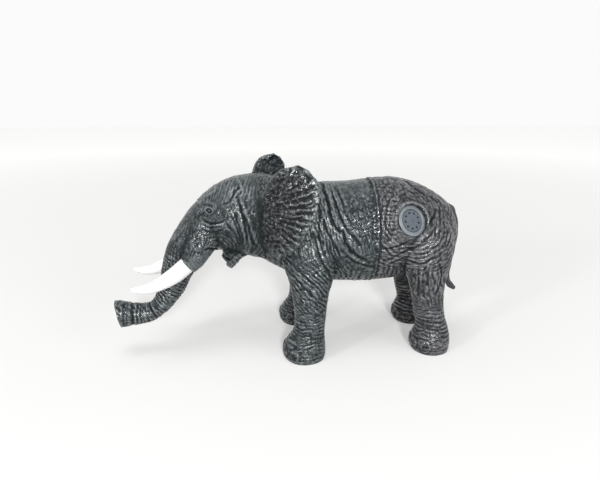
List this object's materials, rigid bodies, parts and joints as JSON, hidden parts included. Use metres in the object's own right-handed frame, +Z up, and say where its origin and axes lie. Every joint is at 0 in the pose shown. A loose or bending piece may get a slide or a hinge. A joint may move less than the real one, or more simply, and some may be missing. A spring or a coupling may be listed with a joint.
{
  "type": "toy elephant figure",
  "caption": "Soft vinyl toy elephant, fibre-filled, two-part skin joined at the waist, tusks, tail and a sound unit with a grille button in its flank.",
  "frame": {"origin": "middle of the bounding box's footprint, at the level of the soles", "axes": "the animal faces -X, its left flank with the sound unit is at -Y, +Z is up"},
  "size_m": [0.3398, 0.1282, 0.1824],
  "materials": {
    "front_vinyl": "soft vinyl, teal grey, satin, deeply wrinkled",
    "rear_vinyl": "soft vinyl, neutral grey, satin, deeply wrinkled",
    "tusk_vinyl": "white vinyl, smooth satin",
    "tail_vinyl": "dark vinyl, rope-like",
    "bezel_plastic": "light blue grey, satin",
    "button_plastic": "blue grey, satin",
    "black_plastic": "black, moulded",
    "fibre": "white loose fibre",
    "steel": "bright",
    "cell_steel": "nickel plated",
    "contact_brass": "thin sheet",
    "board_green": "solder resist",
    "cone_paper": "pressed film",
    "plunger_red": "moulded",
    "lead_red": "insulated wire",
    "lead_black": "insulated wire"
  },
  "bodies": {
    "toy": {"front_shell": "front_vinyl", "rear_shell": "rear_vinyl", "front_filling": "fibre", "rear_filling": "fibre", "tusk_left": "tusk_vinyl", "tusk_right": "tusk_vinyl", "tail": "tail_vinyl", "bezel_ring": "bezel_plastic", "spring_seat": "black_plastic", "return_spring": "steel", "speaker_frame": "black_plastic", "speaker_magnet": "steel", "circuit_board": "board_green", "sound_chip": "black_plastic", "switch_body": "black_plastic", "speaker_lead_red": "lead_red", "speaker_lead_black": "lead_black", "cell_tray": "black_plastic", "button_cell_1": "cell_steel", "button_cell_2": "cell_steel", "button_cell_3": "cell_steel", "front_contact": "contact_brass", "rear_contact": "contact_brass", "unit_housing": "black_plastic", "housing_cover": "black_plastic", "cover_screw_1": "steel", "cover_screw_2": "steel"},
    "button": {"grille_button": "button_plastic"},
    "plunger": {"switch_plunger": "plunger_red"},
    "cone": {"speaker_cone": "cone_paper"}
  },
  "joints": [
    {"name": "sound_button", "type": "slide", "parent": "toy", "child": "button", "axis": [-0.3248, 0.8461, -0.4226], "range_m": [0, 0.001], "stiffness_N_per_m": 400, "springref_m": -0.002, "deforming": ["return_spring"]},
    {"name": "switch_press", "type": "slide", "parent": "toy", "child": "plunger", "axis": [-0.3248, 0.8461, -0.4226], "range_m": [0, 0.001]},
    {"name": "cone_shake", "type": "slide", "parent": "toy", "child": "cone", "axis": [-0.3248, 0.8461, -0.4226], "range_m": [-0.0003, 0.0003], "stiffness_N_per_m": 500}
  ],
  "couplings": [
    {"joint": "switch_press", "follows": "sound_button", "ratio": 1}
  ]
}
